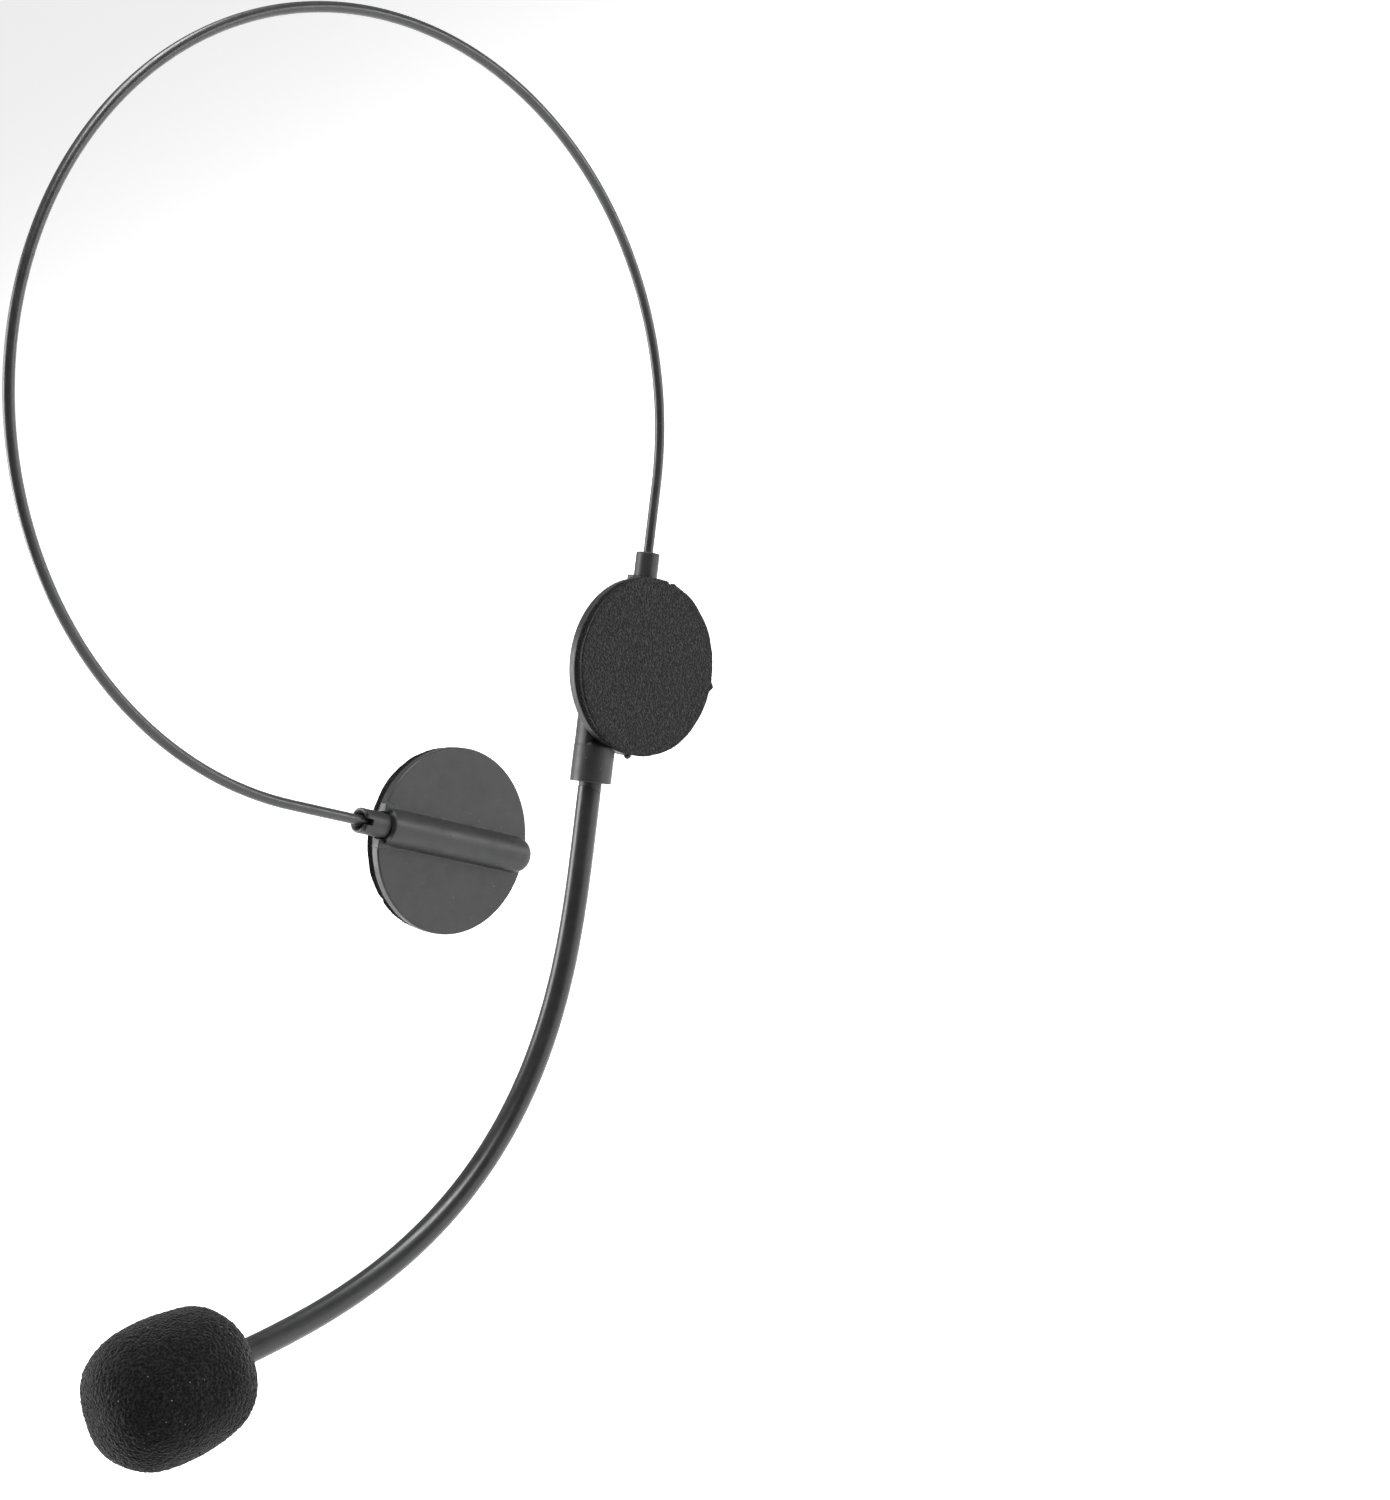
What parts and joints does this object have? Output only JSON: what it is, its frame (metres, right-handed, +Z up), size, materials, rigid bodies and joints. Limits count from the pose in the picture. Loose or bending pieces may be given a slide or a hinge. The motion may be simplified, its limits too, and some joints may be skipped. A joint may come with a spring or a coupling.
{
  "type": "headset microphone",
  "caption": "Cordless stage headset microphone: sprung wire headband, two round padded ear discs that swivel, and a curved pliable boom with a foam windscreen over its capsule.",
  "frame": {"origin": "underside of the headband wire at its crown, where the top of the wearer's head touches it", "axes": "+X to the wearer's right, +Y to the wearer's front, +Z up along the headband's line of symmetry; at rest the ear discs lie flat in the headband's XZ plane"},
  "size_m": [0.2198, 0.0254, 0.2131],
  "materials": {
    "coated_wire": "satin black coated spring wire",
    "disc_plastic": "satin moulded black plastic",
    "pad_foam": "fine-celled black foam sheet",
    "adhesive_tape": "thin adhesive film",
    "boom_tube": "smooth black sheath",
    "steel_core": "drawn soft steel wire",
    "lead_jacket": "smooth insulated lead",
    "capsule_metal": "drawn aluminium can",
    "capsule_felt": "black felt",
    "screen_foam": "open-celled black foam"
  },
  "bodies": {
    "headband": {"band_crown": "coated_wire"},
    "right_arm": {"right_band_arm": "coated_wire", "right_swivel_plug": "disc_plastic"},
    "left_arm": {"left_band_arm": "coated_wire", "left_swivel_plug": "disc_plastic"},
    "right_ear": {"right_ear_shell": "disc_plastic", "right_backing_disc": "disc_plastic", "right_pad_tape": "adhesive_tape", "right_ear_pad": "pad_foam"},
    "left_ear": {"left_ear_shell": "disc_plastic", "left_backing_disc": "disc_plastic", "left_pad_tape": "adhesive_tape", "left_ear_pad": "pad_foam"},
    "boom_upper": {"boom_spigot": "disc_plastic", "sheath_upper": "boom_tube", "core_wire_upper": "steel_core", "signal_lead_upper": "lead_jacket"},
    "boom_middle": {"sheath_middle": "boom_tube", "core_wire_middle": "steel_core", "signal_lead_middle": "lead_jacket"},
    "boom_lower": {"sheath_lower": "boom_tube", "core_wire_lower": "steel_core", "signal_lead_lower": "lead_jacket"},
    "boom_tip": {"sheath_tip": "boom_tube", "core_wire_tip": "steel_core", "signal_lead_tip": "lead_jacket", "capsule_holder": "boom_tube", "mic_capsule": "capsule_metal", "capsule_felt": "capsule_felt"},
    "screen": {"windscreen": "screen_foam"}
  },
  "joints": [
    {"name": "right_arm_spread", "type": "hinge", "parent": "headband", "child": "right_arm", "pos_m": [0.03625, 0, -0.00881], "axis": [0, -1, 0], "range_deg": [0, 20], "stiffness_Nm_per_rad": 0.35},
    {"name": "left_arm_spread", "type": "hinge", "parent": "headband", "child": "left_arm", "pos_m": [-0.03625, 0, -0.00881], "axis": [0, 1, 0], "range_deg": [0, 20], "stiffness_Nm_per_rad": 0.35},
    {"name": "right_ear_swivel", "type": "hinge", "parent": "right_arm", "child": "right_ear", "pos_m": [0.04417, 0, -0.13082], "axis": [0.6717, 0, 0.7408], "range_deg": [-95, 95]},
    {"name": "left_ear_swivel", "type": "hinge", "parent": "left_arm", "child": "left_ear", "pos_m": [-0.04417, 0, -0.13082], "axis": [-0.6717, 0, 0.7408], "range_deg": [-95, 95]},
    {"name": "boom_turn", "type": "hinge", "parent": "right_ear", "child": "boom_upper", "pos_m": [0.00744, 0.0018, -0.1615], "axis": [0.6717, 0, 0.7408], "range_deg": [-60, 60]},
    {"name": "boom_bend_upper", "type": "hinge", "parent": "boom_upper", "child": "boom_middle", "pos_m": [-0.01751, 0.0018, -0.18742], "axis": [0, 1, 0], "range_deg": [-25, 25]},
    {"name": "boom_bend_middle", "type": "hinge", "parent": "boom_middle", "child": "boom_lower", "pos_m": [-0.05028, 0.0018, -0.20605], "axis": [0, 1, 0], "range_deg": [-25, 25]},
    {"name": "boom_bend_lower", "type": "hinge", "parent": "boom_lower", "child": "boom_tip", "pos_m": [-0.08789, 0.0018, -0.20752], "axis": [0, 1, 0], "range_deg": [-25, 25]},
    {"name": "windscreen_slide", "type": "slide", "parent": "boom_tip", "child": "screen", "axis": [-0.9195, 0, 0.393], "range_m": [0, 0.016]}
  ],
  "couplings": [
    {"joint": "left_arm_spread", "follows": "right_arm_spread", "ratio": 1}
  ]
}
